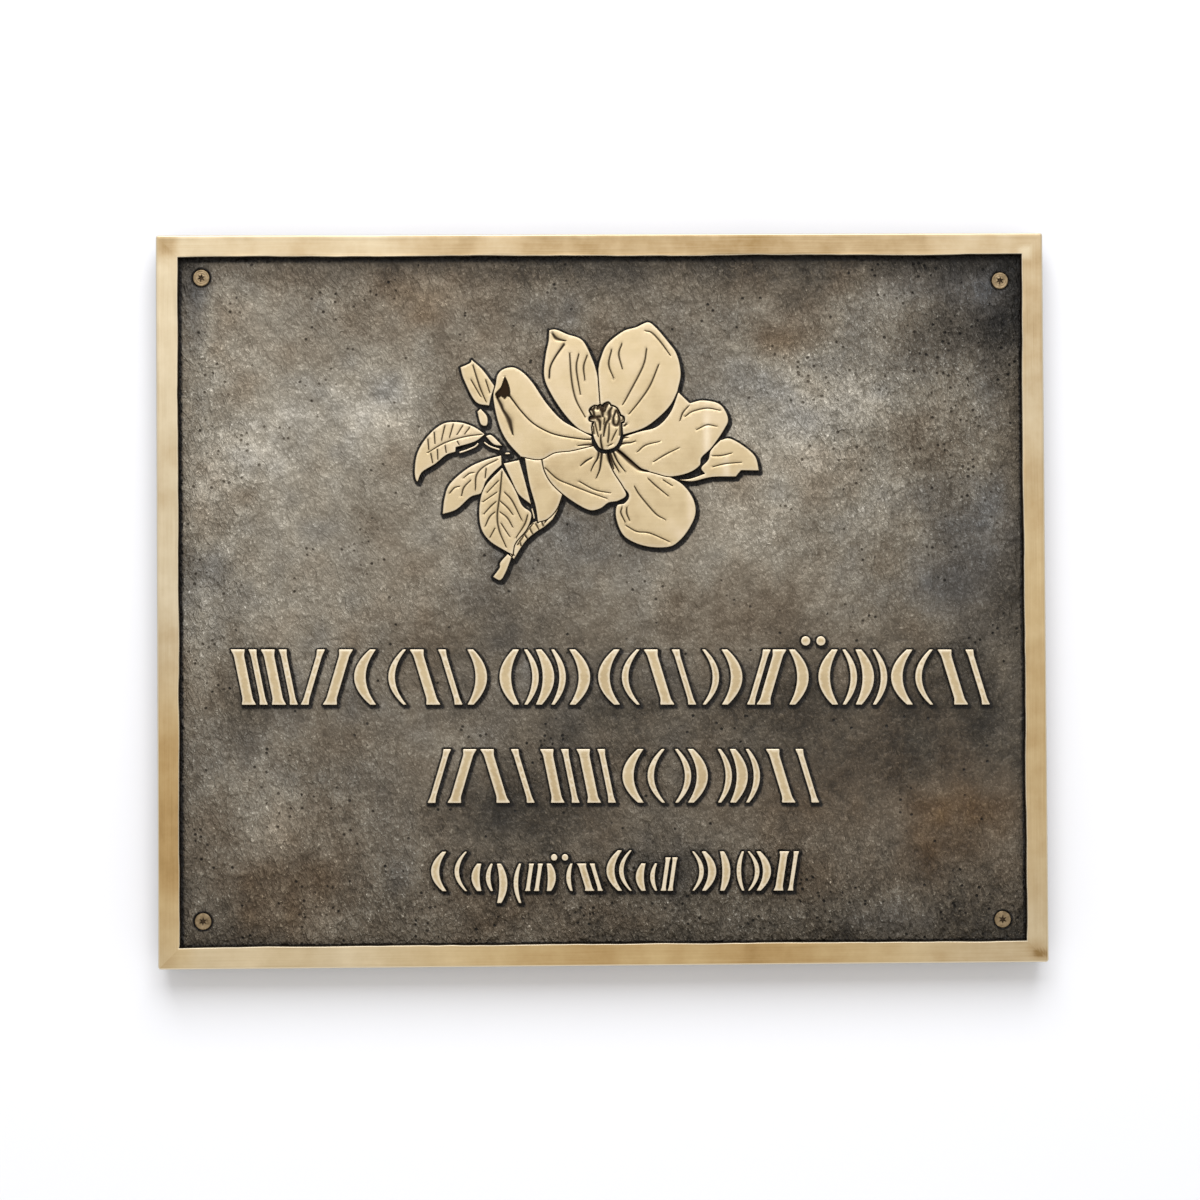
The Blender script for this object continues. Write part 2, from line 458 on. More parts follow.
def distance(points, line, closed, halves=None):
    """Each point's distance in mm to a line or outline, or in the line's half widths when these are given."""
    best = np.full(len(points), 1e9)
    ends = np.roll(line, -1, axis=0) if closed else line[1:]
    for i, (a, b) in enumerate(zip(line, ends)):
        along = b - a
        t = np.clip((points - a) @ along / max(along @ along, 1e-12), 0, 1)
        away = np.linalg.norm(points - a - t[:, None] * along, axis=1)
        if halves is not None:
            away = away / (halves[i] * (1 - t) + halves[i + 1] * t)
        best = np.minimum(best, away)
    return best


def cut_line(points):
    """A line cut by the graver: its points in mm, and half its width at each, thinner at plain ends."""
    line = smooth_line([p[:2] for p in points], False, GRAVER_STEP)
    wide = [p[2] if len(p) > 2 else 1.0 for p in points]
    if all(len(p) == 2 for p in points):
        wide[0] = 0.75
        wide[-1] = 0.6
    given = np.concatenate([[0], np.cumsum([math.dist(a[:2], b[:2]) for a, b in zip(points, points[1:])])])
    run = np.concatenate([[0], np.cumsum(np.linalg.norm(np.diff(line, axis=0), axis=1))])
    return line, VEIN_HALF * np.interp(run / run[-1], given / given[-1], wide)


def triangles(outlines, spread=()):
    """Fills the first outline, less the others, with triangles that use the spread points too."""
    points = [tuple(p) for loop in outlines for p in loop]
    faces = []
    start = 0
    for loop in outlines:
        faces.append(list(range(start, start + len(loop))))
        start += len(loop)
    points += [tuple(p) for p in spread]
    verts, _, tris, _, _, origin = delaunay_2d_cdt(points, [], faces, 1, 1e-6)
    kept = [tri for tri, own in zip(tris, origin) if list(own) == [0]]
    return np.array([tuple(v) for v in verts]), kept


def less(loop, fronts, spacing):
    """The outline without what the outlines in front of it cover: its largest piece."""
    verts, tris = triangles([loop] + fronts)
    sides = {(tri[i], tri[(i + 1) % 3]) for tri in tris for i in range(3)}
    edge = {a: b for a, b in sides if (b, a) not in sides}
    best = []
    while edge:
        start, here = edge.popitem()
        path = [start]
        while here != start and here in edge:
            path.append(here)
            here = edge.pop(here)
        ring = verts[path]
        if here == start and (not len(best) or area(ring) > area(best)):
            best = ring
    kept = [best[0]]
    for p in best[1:]:
        if math.dist(p, kept[-1]) > spacing:
            kept.append(p)
    if math.dist(kept[0], kept[-1]) < spacing:
        kept.pop()
    return np.array(kept)


def lumps(x, z, size, seed):
    """Smooth random heights from -1 to 1, in lumps about size mm across."""
    table = np.random.default_rng(seed).uniform(-1, 1, (256, 256))
    u = np.asarray(x, float) / size + 128
    v = np.asarray(z, float) / size + 128
    i = np.floor(u).astype(int)
    j = np.floor(v).astype(int)
    f = (u - i) ** 2 * (3 - 2 * (u - i))
    g = (v - j) ** 2 * (3 - 2 * (v - j))
    i %= 255
    j %= 255
    low = table[i, j] * (1 - f) + table[i + 1, j] * f
    high = table[i, j + 1] * (1 - f) + table[i + 1, j + 1] * f
    return low * (1 - g) + high * g


def ease(low, high, x):
    """0 below low, 1 above high, smooth between."""
    t = np.clip((np.asarray(x, float) - low) / (high - low), 0, 1)
    return t * t * (3 - 2 * t)


def field_y(p):
    """The cast field's depth at points (x, z): broad swells, hammered lumps and grain."""
    x, z = p[:, 0], p[:, 1]
    return FIELD - (0.10 * lumps(x, z, 17, 1) + 0.06 * lumps(x, z, 6, 2)
                    + (0.11 * lumps(x, z, 2.6, 3) + 0.07 * lumps(x, z, 1.3, 4)) * (0.4 + roughness_at(x, z)))


# Where the sand left the field roughest: middle x and z, reach in x and z, how much rougher
SMOOTHEST = 0.31
ROUGH_PATCHES = [
    (-110, -85, 45, 35, 0.4), (-140, 30, 18, 80, 0.5), (0, -105, 160, 16, 0.55), (60, -100, 60, 20, 0.3),
    (125, 90, 30, 30, 0.3), (100, 60, 45, 40, 0.55), (-60, 105, 60, 10, 0.15),
]

# Clusters of gas pits: middle x and z, and reach
PITTED = [
    (-127, 75, 5), (-134, 60, 4), (-137, 97, 4), (-93, 77, 4), (-122, 96, 4), (-118, -62, 6),
    (-128, -88, 6), (-105, -104, 7), (-60, -108, 8), (128, -100, 6), (118, 92, 5), (96, 88, 4),
    (135, 60, 5), (-138, -20, 5),
]


def summed(x, z, marks, power=2, column=4):
    """The sum of soft marks at (x, z). Each has its middle, its reach in x and z, and then its amounts."""
    total = np.zeros(np.shape(x))
    for mark in marks:
        mx, mz, rx, rz = mark[:4]
        total += mark[column] * np.exp(-(((x - mx) / rx) ** power + ((z - mz) / rz) ** power))
    return total


def roughness_at(x, z):
    """How rough the cast skin is, about 0.3 where it is smoothest and 1 where it is roughest."""
    return np.clip(SMOOTHEST + summed(x, z, ROUGH_PATCHES) + 0.1 * lumps(x, z, 20, 5), 0, 1)


def make_piece(name, verts, faces, material, replaced, marks, smooth_angle=40):
    """A mesh from points in mm, with its painted marks, that rides on the plaque and replaces its nodes."""
    mesh = bpy.data.meshes.new(name)
    mesh.from_pydata((np.asarray(verts) * MM).tolist(), [], [tuple(f) for f in faces])
    for mark, values in marks.items():
        layer = mesh.attributes.new(mark, "FLOAT", "POINT")
        layer.data.foreach_set("value", np.asarray(values, np.float32))
    mesh.shade_smooth()
    mesh.set_sharp_from_angle(angle=math.radians(smooth_angle))
    mesh.materials.append(material)
    piece = bpy.data.objects.new(name, mesh)
    bpy.context.scene.collection.objects.link(piece)
    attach(piece, "root")
    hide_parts(*replaced)
    return piece


def on_spray(points):
    scale = SPRAY_WIDTH / 100
    return [(SPRAY_X + p[0] * scale, SPRAY_Z + p[1] * scale, *p[2:]) for p in points]


def circle(x, z, radius, steps):
    turn = np.arange(steps) * math.tau / steps
    return np.stack([x + radius * np.cos(turn), z + radius * np.sin(turn)], 1)


def band(first, second, count):
    """The faces between two closed rows of count points, which start at these numbers."""
    return [(first + i, first + (i + 1) % count, second + (i + 1) % count, second + i) for i in range(count)]


def strip(line, width):
    """A closed outline of even width round an open line."""
    along = np.gradient(line, axis=0)
    along /= np.linalg.norm(along, axis=1)[:, None]
    side = np.stack([-along[:, 1], along[:, 0]], 1) * width / 2
    return np.concatenate([line - side, (line + side)[::-1]])


def well_outline():
    return anticlockwise(smooth_line(on_spray(WELL), True, 0.8))


def spray_shapes():
    """Every raised shape of the spray: name, outline, rise, lines cut in its top and hollows in it."""
    fronts = [well_outline()]
    filaments = anticlockwise(smooth_line(on_spray(FILAMENTS), True, OUTLINE_STEP))
    cuts = {name: [cut_line(on_spray(line)) for line in lines] for name, lines in VEINS.items()}
    shapes = [("filaments", filaments, PETAL_RISE, cuts["filaments"], None)]
    for name, outline in OUTLINES.items():
        loop = anticlockwise(smooth_line(on_spray(outline), True, OUTLINE_STEP))
        low, high = loop.min(0), loop.max(0)
        meeting = [f for f in fronts if (f.min(0) < high).all() and (f.max(0) > low).all()]
        loop = less(loop, meeting, OUTLINE_STEP * 0.45)
        hollow = None
        if name == "left_petal":
            hollow = moved_out(anticlockwise(smooth_line(on_spray(CURL), True, OUTLINE_STEP)), 0.25)
        shapes.append((name, loop, PETAL_RISE, cuts.get(name, []), hollow))
        fronts.append(moved_out(loop, PETAL_GROOVE))
    for line in TENDRILS:
        loop = strip(smooth_line(on_spray(line), False, OUTLINE_STEP), TENDRIL_WIDTH)
        shapes.append(("tendril", loop, TENDRIL_RISE, [], None))
    return shapes


def stroke_reach(weight, lean, bow, high, tall):
    """How far a stroke reaches to the left and right of its place."""
    half = tall * (THICK_SHARE if weight else THIN_SHARE) / 2
    if bow:
        tip = high * abs(bow) / 2 + half * TIP_SHARE
        belly = high * abs(bow) / 2 + half * SWELL
        return (tip, belly) if bow > 0 else (belly, tip)
    reach = high * abs(lean) / 2 + half * FLARE
    return reach, reach


def stroke_outline(foot, head, x, weight, lean, bow, tall):
    """One raised stroke: a flared bar, leaning or bowed, anticlockwise."""
    half = tall * (THICK_SHARE if weight else THIN_SHARE) / 2
    high = head - foot
    t = np.linspace(0, 1, 2 + round(high / OUTLINE_STEP))
    belly = 1 - (2 * t - 1) ** 2
    middle = x + lean * high * (t - 0.5) + bow * high * (belly - 0.5)
    if bow:
        wide = half * (TIP_SHARE + (SWELL - TIP_SHARE) * belly)
    else:
        wide = half * (1 + (FLARE - 1) * ease(0.33, 0.5, abs(t - 0.5)) ** 2)
    z = foot + high * t
    right = np.stack([middle + wide, z], 1)
    left = np.stack([middle - wide, z], 1)
    return even(np.concatenate([right, left[::-1]]), OUTLINE_STEP)


def stroke_shapes():
    """Every raised stroke and dot, row by row."""
    loops = []
    for low, high, figures in ROWS:
        base = low * LAYOUT
        tall = (high - low) * LAYOUT
        for left_share, width_share, kind, foot, head, dotted in figures:
            left = left_share * LAYOUT
            right = left + width_share * LAYOUT
            strokes = FIGURES[kind]
            rise = (head - foot) * tall
            start = left + stroke_reach(*strokes[0][1:], rise, tall)[0]
            end = right - stroke_reach(*strokes[-1][1:], rise, tall)[1]
            for place, weight, lean, bow in strokes:
                x = start + (end - start) * place
                ends = base + foot * tall, base + head * tall
                loops.append(stroke_outline(*ends, x, weight, lean, bow, tall))
            if dotted:
                up = base + (head + DOTS_UP_SHARE) * tall
                for side in (-DOTS_APART_SHARE, DOTS_APART_SHARE):
                    x = (left + right) / 2 + side * tall
                    loops.append(circle(x, up, tall * DOT_SHARE, 20))
    for loop in loops:
        loop[:, 1] += loop[:, 0] * DOWNHILL
    return [("stroke", loop, STROKE_RISE, [], None) for loop in loops]


def honeycomb(low, high, step, seed):
    """Points spread evenly over a rectangle, each a little off its place."""
    rows = np.arange(low[1], high[1], step * 0.866)
    cols = np.arange(low[0], high[0], step)
    x, z = np.meshgrid(cols, rows)
    x = x + (np.arange(len(rows)) % 2)[:, None] * step / 2
    p = np.stack([x.ravel(), z.ravel()], 1)
    return p + np.random.default_rng(seed).uniform(-0.22, 0.22, p.shape) * step


# How a raised shape's side and shoulder rise from the field: distance inside its foot, share of its height
SHOULDER = [(0.0, 0.0), (0.05, 0.82), (0.10, 0.94), (0.20, 0.99), (0.35, 1.0)]

# Where points stand across a cut, in half widths of the cut, and across the curl's edge in mm
CUT_OFFSETS = (-2.4, -1.4, -0.7, 0, 0.7, 1.4, 2.4)
CURL_OFFSETS = (0.25, 0, -0.2, -0.5)


def raised_mesh(shape, seed):
    """The mesh of one raised shape, with its marks: soot in its cuts and at its foot, and its bright rim."""
    name, loop, rise, cuts, hollow = shape
    rows = []
    for depth, _ in SHOULDER[1:]:
        row = moved_out(loop, -depth)
        row = row[inside(row, loop)]
        rows.append(row[distance(row, loop, True) > depth * 0.93])
    last = SHOULDER[-1][0]
    spread = honeycomb(loop.min(0), loop.max(0), RELIEF_STEP, seed)
    spread = spread[inside(spread, loop)]
    spread = spread[distance(spread, loop, True) > last + 0.4 * RELIEF_STEP]
    lines = []
    for cut, half in cuts:
        along = np.gradient(cut, axis=0)
        along /= np.maximum(np.linalg.norm(along, axis=1), 1e-9)[:, None]
        side = np.stack([-along[:, 1], along[:, 0]], 1) * half[:, None]
        lines += [cut + side * off for off in CUT_OFFSETS]
    if hollow is not None:
        lines += [moved_out(hollow, off) for off in CURL_OFFSETS]
    if lines:
        close = np.concatenate(lines)
        close = close[inside(close, loop)]
        close = close[distance(close, loop, True) > 0.15]
        near = [distance(spread, cut, False, half) for cut, half in cuts] + [np.full(len(spread), 9)]
        spread = np.concatenate([spread[np.min(near, axis=0) > 3.0], close])
    points, tris = triangles([loop], np.concatenate(rows + [spread]))
    deep = distance(points, loop, True)
    deep[:len(loop)] = 0
    share = np.interp(deep, [d for d, _ in SHOULDER], [s for _, s in SHOULDER])
    top = FIELD - rise - PETAL_CROWN * (1 - np.exp(-deep / 3))
    top = top - 0.015 * lumps(points[:, 0], points[:, 1], 3, 9)
    soot = 1 - ease(0.02, 0.13, deep)
    rim = ease(0.08, 0.2, deep) * (1 - ease(0.3, 0.85, deep)) * (0.8 if name == "stroke" else 0.35)
    if cuts:
        v = np.zeros(len(points))
        for cut, half in cuts:
            away = distance(points, cut, False, half)
            held = 1.0 if half.max() > 1.2 * VEIN_HALF else 0.8
            v = np.maximum(v, np.exp(-away ** 2))
            soot = np.maximum(soot, held * np.exp(-(away / 1.15) ** 4))
        top = top + VEIN_DEPTH * v
        rim = rim * (1 - v)
    if name == "filaments":
        for x, z, radius in on_spray(BEADS):
            away = np.hypot(points[:, 0] - x, points[:, 1] - z) / (radius * SPRAY_WIDTH / 100)
            top = top - (BEAD_RISE - PETAL_RISE) * np.exp(-away ** 2)
    if hollow is not None:
        sunk = np.where(inside(points, hollow), distance(points, hollow, True), 0)
        top = top + CURL_DEPTH * ease(0, 0.5, sunk)
        soot = np.maximum(soot, ease(0, 0.4, sunk))
    foot = field_y(points)
    y = foot + (top - foot) * share
    return np.stack([points[:, 0], y, points[:, 1]], 1), tris, soot, rim


# Where the relief's top is worn brighter or duller: middle x and z, reach in x and z, and how much lighter
RELIEF_MARKS = [
    (35.6, 55, 1.1, 8, 0.45), (42.2, 43.5, 1.1, 5, 0.35), (30, 31, 1.3, 7, 0.25), (27, 22, 2.4, 2, 0.2),
    (-45, 52, 12, 10, 0.1), (-12, 40, 12, 10, -0.06), (0, -52, 140, 90, -0.1),
]


def build_relief(name, shapes, material):
    """One piece made of raised shapes. Each keeps its own foot line on the field."""
    verts, faces, soot, rim = [], [], [], []
    for seed, shape in enumerate(shapes):
        v, tris, s, r = raised_mesh(shape, seed)
        start = len(verts)
        verts.extend(v)
        faces.extend([[i + start for i in tri] for tri in tris])
        soot.extend(s)
        rim.extend(r)
    x, z = np.array(verts)[:, 0], np.array(verts)[:, 2]
    tone = 0.43 + 0.06 * lumps(x, z, 16, 71) + 0.03 * lumps(x, z, 5, 72) + summed(x, z, RELIEF_MARKS)
    marks = {"soot": soot, "rim": rim, "tone": tone}
    return make_piece(name, verts, faces, material, ["plaque"], marks)


def frame_loop(inset):
    """A rectangle inset mm inside the plaque's outline, with small round corners, anticlockwise."""
    radius = max(CORNER_RADIUS - inset, TIGHT_CORNER)
    w = WIDTH / 2 - inset - radius
    h = HEIGHT / 2 - inset - radius
    centres = [(-w, -h), (w, -h), (w, h), (-w, h)]
    loop = []
    for k, centre in enumerate(centres):
        for step in range(CORNER_STEPS + 1):
            turn = math.pi + (k + step / CORNER_STEPS) * math.pi / 2
            loop.append((centre[0] + radius * math.cos(turn), centre[1] + radius * math.sin(turn)))
        after = centres[(k + 1) % 4]
        turn = math.pi + (k + 1) * math.pi / 2
        start = np.array(loop[-1])
        end = np.array(after) + radius * np.array([math.cos(turn), math.sin(turn)])
        count = round((WIDTH if k % 2 == 0 else HEIGHT) / RAIL_STEP)
        for step in range(1, count):
            loop.append(tuple(start + (end - start) * step / count))
    return np.array(loop)


def border_rows():
    """The border's outline from the back edge, over the front, down to the field: inset, y and hand wave."""
    rows = [(BACK_ARRIS, 0, 0), (BACK_ARRIS * 0.3, -BACK_ARRIS * 0.3, 0), (0, -BACK_ARRIS, 0), (0, -2.5, 0),
            (0, -5.2, 0)]
    for turn in np.radians([0, 22, 45, 68, 90]):
        rows.append((ARRIS * (1 - math.cos(turn)), FRONT + ARRIS * (1 - math.sin(turn)), 0))
    for inset in np.linspace(ARRIS, BORDER_WIDTH - INNER_ARRIS, 8)[1:-1]:
        rows.append((inset, FRONT, 0.3 * inset / BORDER_WIDTH))
    for turn in np.radians([90, 60, 30, 0]):
        rows.append((BORDER_WIDTH - INNER_ARRIS * (1 - math.cos(turn)),
                     FRONT + INNER_ARRIS * (1 - math.sin(turn)), 1))
    rows.append((BORDER_WIDTH + BORDER_DRAFT / 2, (FRONT + FIELD) / 2, 1))
    rows.append((BORDER_WIDTH + BORDER_DRAFT, FIELD, 1))
    return rows


def border_lines():
    """The border's rows as closed lines of points (x, y, z), from the back over the front to the field."""
    lines = []
    for inset, y, sway in border_rows():
        loop = frame_loop(inset)
        inward = frame_loop(inset + 1) - loop
        run = np.arange(len(loop)) * RAIL_STEP
        wave = HAND_WAVE * lumps(run, 0 * run, 16, 21) + HAND_WAVE * 0.5 * lumps(run, 0 * run, 5, 22)
        loop = loop + inward * (wave * sway)[:, None]
        depth = np.full(len(loop), float(y))
        if inset > ARRIS and y == FRONT:
            depth += 0.035 * (1 + lumps(loop[:, 0], loop[:, 1], 11, 23))
        if y == FIELD:
            depth = field_y(loop)
        lines.append(np.stack([loop[:, 0], depth, loop[:, 1]], 1))
    return lines


def build_border(lines, material):
    """The border and the plaque's sides."""
    count = len(lines[0])
    verts = np.concatenate(lines)
    faces = []
    for row in range(len(lines) - 1):
        faces += band(row * count, (row + 1) * count, count)
    deep = ease(FRONT + 0.1, FRONT + 0.9, verts[:, 1])
    x, z = verts[:, 0], verts[:, 2]
    inner = np.maximum(abs(x) - WIDTH / 2, abs(z) - HEIGHT / 2) < -BORDER_WIDTH + 0.6
    arris = np.concatenate([np.full(count, float(0 < y - FRONT < ARRIS * 0.8)) for _, y, _ in border_rows()])
    brown = summed(x, z, BROWN_MARKS, 4)
    marks = {"soot": deep * inner, "rim": arris, "tone": border_tone(x, z), "brown": brown}
    return make_piece("border", verts, faces, material, ["plaque"], marks, 60)


# Marks that the sanding and handling left on the border: middle x and z, reach in x and z, and how much
# lighter or darker
BORDER_MARKS = [
    (-95, 120, 40, 8, 0.1), (0, 120, 150, 8, -0.25), (-147, 85, 8, 60, 0.06), (147, 100, 8, 30, -0.14),
    (-147, -60, 8, 45, -0.12), (-146, 120, 3.6, 3.6, -0.3), (-147, -80, 8, 14, -0.12),
    (147, 45, 8, 16, -0.1), (60, 120, 50, 8, -0.12), (20, -120, 60, 8, -0.14), (90, -120, 30, 8, -0.08),
    (-110, -120, 30, 8, 0.15), (146, 20, 8, 100, -0.05), (146.5, -119.5, 3.4, 3.4, -0.15),
    (147.8, -120.6, 2.8, 1.4, -0.32), (144, 117, 2.5, 2.5, 0.3), (-147, -118, 5, 6, -0.15),
]


# Where the rails kept a browner skin: middle x and z, reach in x and z, and how much
BROWN_MARKS = [
    (20, -120, 100, 9, 0.9), (-147, -75, 9, 48, 0.9), (147, -30, 9, 75, 0.7), (-120, -120, 25, 9, 0.3),
]


def border_tone(x, z):
    """How light the sanded border is at each point, about 0 for the darkest and 1 for the lightest."""
    upright = WIDTH / 2 - abs(x) < HEIGHT / 2 - abs(z)
    along = np.where(upright, z, x)
    rail = np.where(upright, np.sign(x) * 300, np.sign(z) * 700)
    patches = 0.11 * lumps(along, rail, 17, 31) + 0.06 * lumps(along, rail, 6, 32)
    return 0.5 + patches + summed(x, z, BORDER_MARKS, 4)


# Broad stains in the field's patina: middle x and z, reach in x and z, how much lighter, and how much browner
STAINS = [
    (-95, 55, 75, 50, 0.3, 0), (-60, 95, 60, 22, -0.05, 0.1), (72, 62, 45, 40, 0.3, 0),
    (40, 20, 60, 45, 0.14, 0), (-75, -45, 60, 45, 0.1, 0.15), (62, 88, 14, 6, -0.08, 0.5),
    (118, 15, 22, 28, 0, -0.6), (135, 40, 14, 80, -0.2, -0.3), (135, 105, 25, 20, -0.22, -0.4),
    (95, -65, 60, 45, -0.16, 0.35), (80, -95, 60, 20, 0.04, 0.1), (-128, -50, 20, 70, -0.06, 0.1),
    (-110, -92, 22, 12, 0, 0.3), (-20, -105, 90, 14, 0.02, 0.2), (-138, 105, 8, 10, -0.1, -0.3),
    (-136, 0, 10, 80, 0.16, 0), (-112, 5, 22, 40, 0.12, 0), (-115, -73, 16, 14, 0.22, 0.15),
    (-51, 105, 16, 9, 0.18, 0.2), (20, -38, 90, 12, -0.1, 0), (132, 33, 8, 14, 0.08, 0),
    (-79, 69, 12, 12, 0.1, 0), (-51, 69, 10, 10, -0.14, 0), (-51, -2, 12, 12, 0.12, 0),
    (-95, 105, 60, 10, 0.08, 0), (122, 105, 14, 10, 0.2, 0), (-122, 69, 10, 10, -0.12, 0),
    (-79, 69, 10, 10, -0.1, 0), (-138, -50, 8, 35, 0.1, 0), (-110, -73, 20, 12, 0.08, 0),
    (130, 33, 12, 60, 0.09, 0), (94, -37, 10, 12, 0.1, 0), (95, -73, 40, 14, 0.16, 0),
    (-110, -2, 22, 10, 0.08, 0), (-40, -70, 25, 16, -0.24, 0), (67, 105, 12, 10, -0.16, 0),
    (100, 105, 16, 8, 0.14, 0), (94, 69, 12, 12, 0.22, 0), (130, 69, 8, 12, 0.1, 0),
    (67, -20, 12, 25, -0.14, 0.1), (125, -73, 20, 14, 0.14, 0.3), (0, 112, 150, 7, -0.18, 0),
    (-30, -10, 30, 14, -0.1, -0.2), (105, -110, 40, 14, -0.06, -0.3), (130, 105, 8, 7, 0.16, 0),
    (-136, 34, 7, 16, 0.12, 0), (115, 34, 10, 12, -0.1, 0), (138, -37, 6, 16, 0.1, 0),
    (138, -73, 7, 16, 0.16, 0), (-60, 101, 15, 10, 0.06, 0.4), (-40, 84, 16, 8, 0.04, 0.2),
    (-75, 64, 18, 11, 0.1, -0.22), (-137, 97, 6, 17, 0, -0.6), (-100, 90, 30, 14, 0, 0.12),
    (-20, 12, 105, 15, 0, -0.2), (-122, -50, 26, 20, 0, -0.4), (25, -88, 13, 12, 0, -0.5),
    (-136, -98, 12, 14, 0, -0.3), (-55, -58, 13, 10, 0, 0.3), (-12, 100, 22, 12, 0, -0.3),
    (-90, -108, 14, 8, 0.1, 0), (-51, 69, 8, 12, -0.07, 0), (131, 104, 8, 8, 0.2, 0),
    (56, 103, 12, 9, 0.07, 0), (-122, 34, 22, 12, -0.06, 0), (94, 34, 11, 12, 0.09, 0),
    (131, 34, 9, 50, 0.09, 0), (-122, -37, 12, 9, -0.12, 0), (114, -2, 10, 10, 0.12, 0),
    (-112, 66, 14, 16, 0, 0.2), (-52, -38, 9, 6, -0.08, 0), (67, -37, 9, 8, -0.06, 0),
    (-14, -73, 10, 10, -0.08, 0), (114, -73, 9, 10, 0.1, 0), (-102, -108, 10, 7, 0.08, 0),
    (98, -108, 14, 7, 0.09, 0), (135, -108, 8, 7, -0.06, 0), (-14, 105, 10, 8, 0.07, 0),
    (-90, 34, 40, 14, 0, 0.2), (-81, -90, 10, 14, 0, 0.2), (111, -90, 12, 12, 0, 0.25),
    (118, 6, 12, 9, 0, -0.35), (94, 105, 9, 8, 0.07, 0), (-79, 34, 10, 12, -0.07, 0),
    (138, -2, 7, 12, -0.09, 0), (130, -37, 8, 10, -0.1, 0), (67, 69, 10, 10, -0.02, 0),
]


# How far the soot at the relief's foot is moved to the right and down
SHADE_X = 0.5
SHADE_Z = 0.7


def field_marks(p, near, shaded, screw):
    """The field's patina at points: how light and how brown it is, and where soot gathers."""
    x, z = p[:, 0], p[:, 1]
    tone = 0.47 + 0.08 * lumps(x, z, 24, 41) + 0.05 * lumps(x, z, 9, 42) + 0.03 * lumps(x, z, 3.5, 43)
    tone += summed(x, z, STAINS)
    brown = 0.26 * lumps(x, z, 34, 44) + 0.24 * lumps(x, z, 12, 45) + 0.12 * lumps(x, z, 5, 46)
    brown += summed(x, z, STAINS, column=5)
    left = x + WIDTH / 2 - BORDER_WIDTH
    right = WIDTH / 2 - BORDER_WIDTH - x
    top = HEIGHT / 2 - BORDER_WIDTH - z
    foot = z + HEIGHT / 2 - BORDER_WIDTH
    # The dark line at the relief's foot is crisp round the spray, in the upper half, and soft round the rows
    soft = np.maximum(np.exp(-(near / 0.6) ** 2), 0.85 * np.exp(-(shaded / 1.0) ** 2))
    hard = np.maximum(np.exp(-(near / 0.80) ** 4), np.exp(-(shaded / 1.05) ** 4))
    soot = np.where(z > 0, hard, soft)
    # A thin dark line goes round each screw, and a wider one runs inside the border
    soot = np.where(screw < 2.5, 0.8 * np.exp(-(screw / 0.45) ** 2), soot)
    for gap, reach in ((left, 1.4), (top, 2.0), (right, 1.0), (foot, 0.7)):
        soot = np.maximum(soot, np.exp(-(np.maximum(gap, 0) / reach) ** 4))
        tone -= 0.12 * np.exp(-np.maximum(gap, 0) / 5)
    return tone, brown, soot


def build_field(edge, shapes, places, material):
    """The cast field inside the border, with holes where the relief and the screws stand."""
    outlines = [shape[1] for shape in shapes] + [circle(x, z, SINK_RADIUS, HOLE_STEPS) for x, z in places]
    samples = np.concatenate([even(loop, 0.25) for loop in outlines])
    tree = kdtree.KDTree(len(samples))
    for i, (x, z) in enumerate(samples):
        tree.insert((x, z, 0), i)
    tree.balance()
    spread = []
    for seed, (least, most, step) in enumerate(FIELD_STEPS):
        p = honeycomb(edge.min(0), edge.max(0), step, 50 + seed)
        near = np.array([tree.find((x, z, 0))[2] for x, z in p])
        spread.append(p[(near >= max(least, 0.2)) & (near < most)])
    p = np.concatenate(spread)
    gap = np.minimum(WIDTH / 2 - abs(p[:, 0]), HEIGHT / 2 - abs(p[:, 1])) - BORDER_WIDTH - BORDER_DRAFT
    p = p[gap > 0.5]
    covered = np.zeros(len(p), bool)
    for loop in outlines:
        box = (p > loop.min(0)).all(1) & (p < loop.max(0)).all(1)
        covered[box] |= inside(p[box], loop)
    points, tris = triangles([edge] + outlines, p[~covered])
    near = np.array([tree.find((x, z, 0))[2] for x, z in points])
    # Measured from a little up and to the left, so that soot lies wider below and to the right of a shape
    shaded = np.array([tree.find((x - SHADE_X, z + SHADE_Z, 0))[2] for x, z in points])
    screw = np.min([np.hypot(points[:, 0] - x, points[:, 1] - z) for x, z in places], axis=0) - SINK_RADIUS
    tone, brown, soot = field_marks(points, near, shaded, screw)
    soot = np.maximum(soot, inside(points, well_outline()))
    verts = np.stack([points[:, 0], field_y(points), points[:, 1]], 1)
    rough = roughness_at(points[:, 0], points[:, 1])
    pitted = np.zeros(len(points))
    for x, z, reach in PITTED:
        pitted = np.maximum(pitted, np.exp(-((points[:, 0] - x) ** 2 + (points[:, 1] - z) ** 2) / reach ** 2))
    marks = {"tone": tone, "brown": brown, "soot": soot, "rough": rough, "pitted": pitted}
    return make_piece("field", verts, tris, material, ["plaque"], marks)


